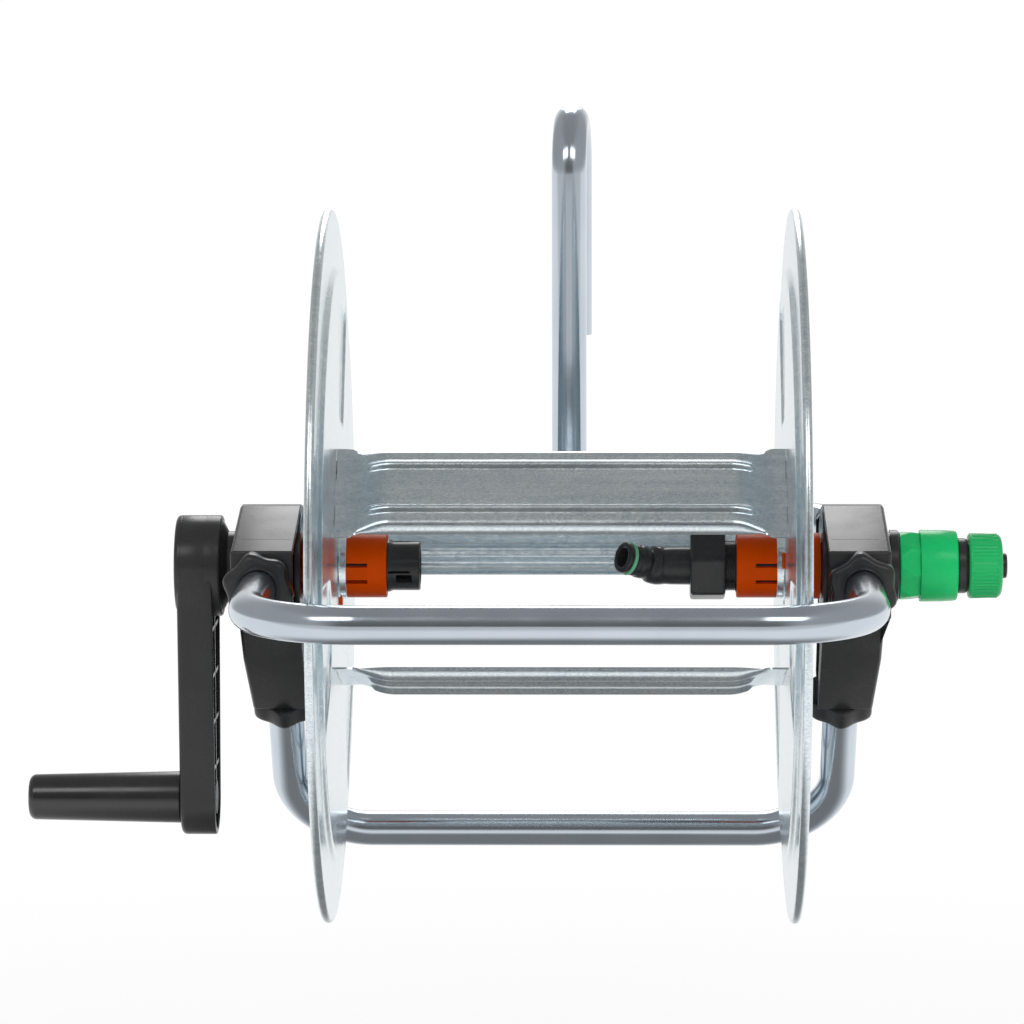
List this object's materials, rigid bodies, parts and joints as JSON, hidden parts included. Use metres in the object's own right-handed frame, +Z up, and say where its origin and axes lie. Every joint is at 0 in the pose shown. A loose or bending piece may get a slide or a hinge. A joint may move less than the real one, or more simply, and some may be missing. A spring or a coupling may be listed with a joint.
{
  "type": "wall mounted hose reel",
  "caption": "Hose reel on a bent tube frame that hooks into a wall bracket: sheet metal drum turned by a side crank, with a quick connector for the supply.",
  "frame": {"origin": "on the axis of the hook's free leg, at the top of its straight length, where it hangs in the wall bracket", "axes": "+X along the axle from the crank to the supply connector, +Y from the drum to the wall, +Z up"},
  "size_m": [0.4979, 0.4728, 0.405],
  "materials": {
    "galvanised_tube": "smooth silver coating on drawn steel tube, soft reflections",
    "galvanised_sheet": "galvanised steel sheet with a faint crystal grain, mirror-like at grazing angles",
    "weld_metal": "coated weld bead, finely rippled",
    "screw_steel": "zinc plated, bright",
    "black_plastic": "moulded black plastic with a fine grained sheen",
    "grip_plastic": "moulded black plastic, satin",
    "grey_plastic": "dark grey moulded plastic",
    "orange_plastic": "moulded orange plastic, satin",
    "green_plastic": "moulded bright green plastic, semi-gloss",
    "dark_green_plastic": "moulded green plastic, satin",
    "seal_rubber": "black rubber washer",
    "ring_rubber": "light green rubber ring"
  },
  "bodies": {
    "frame": {"front_tube": "galvanised_tube", "rear_tube": "galvanised_tube", "lower_tube": "galvanised_tube", "hook_tube": "galvanised_tube", "hook_weld": "weld_metal", "left_block": "black_plastic", "right_block": "black_plastic", "front_clamp_nuts": "black_plastic", "rear_clamp_nuts": "black_plastic", "lower_clamp_nuts": "black_plastic", "clamp_rings": "grey_plastic"},
    "drum": {"left_disc": "galvanised_sheet", "right_disc": "galvanised_sheet", "upper_stave": "galvanised_sheet", "lower_stave": "galvanised_sheet", "rear_stave": "galvanised_sheet", "left_bush": "orange_plastic", "right_bush": "orange_plastic", "crank_shaft": "black_plastic", "crank_arm": "black_plastic", "crank_screw": "screw_steel", "grip_pin": "grey_plastic", "water_shaft": "black_plastic", "union_nut": "black_plastic", "outlet_elbow": "black_plastic", "outlet_seal": "seal_rubber", "outlet_ring": "ring_rubber"},
    "grip": {"grip": "grip_plastic"},
    "connector": {"connector_body": "black_plastic", "connector_seal": "ring_rubber", "connector_claws": "green_plastic", "hose_collet": "grey_plastic", "sleeve_spring": "screw_steel"},
    "sleeve": {"release_sleeve": "green_plastic"},
    "hose_nut": {"hose_nut": "dark_green_plastic"}
  },
  "joints": [
    {"name": "drum_spin", "type": "hinge", "parent": "frame", "child": "drum", "pos_m": [-0.00533, -0.25398, -0.1875], "axis": [1, 0, 0], "continuous": true},
    {"name": "grip_spin", "type": "hinge", "parent": "drum", "child": "grip", "pos_m": [-0.00533, -0.25398, -0.3071], "axis": [1, 0, 0], "continuous": true},
    {"name": "connector_swivel", "type": "hinge", "parent": "drum", "child": "connector", "pos_m": [-0.00533, -0.25398, -0.1875], "axis": [1, 0, 0], "continuous": true},
    {"name": "sleeve_release", "type": "slide", "parent": "connector", "child": "sleeve", "axis": [1, 0, 0], "range_m": [0, 0.004], "stiffness_N_per_m": 800, "springref_m": -0.003},
    {"name": "nut_turn", "type": "hinge", "parent": "connector", "child": "hose_nut", "pos_m": [-0.00533, -0.25398, -0.1875], "axis": [1, 0, 0], "continuous": true}
  ]
}
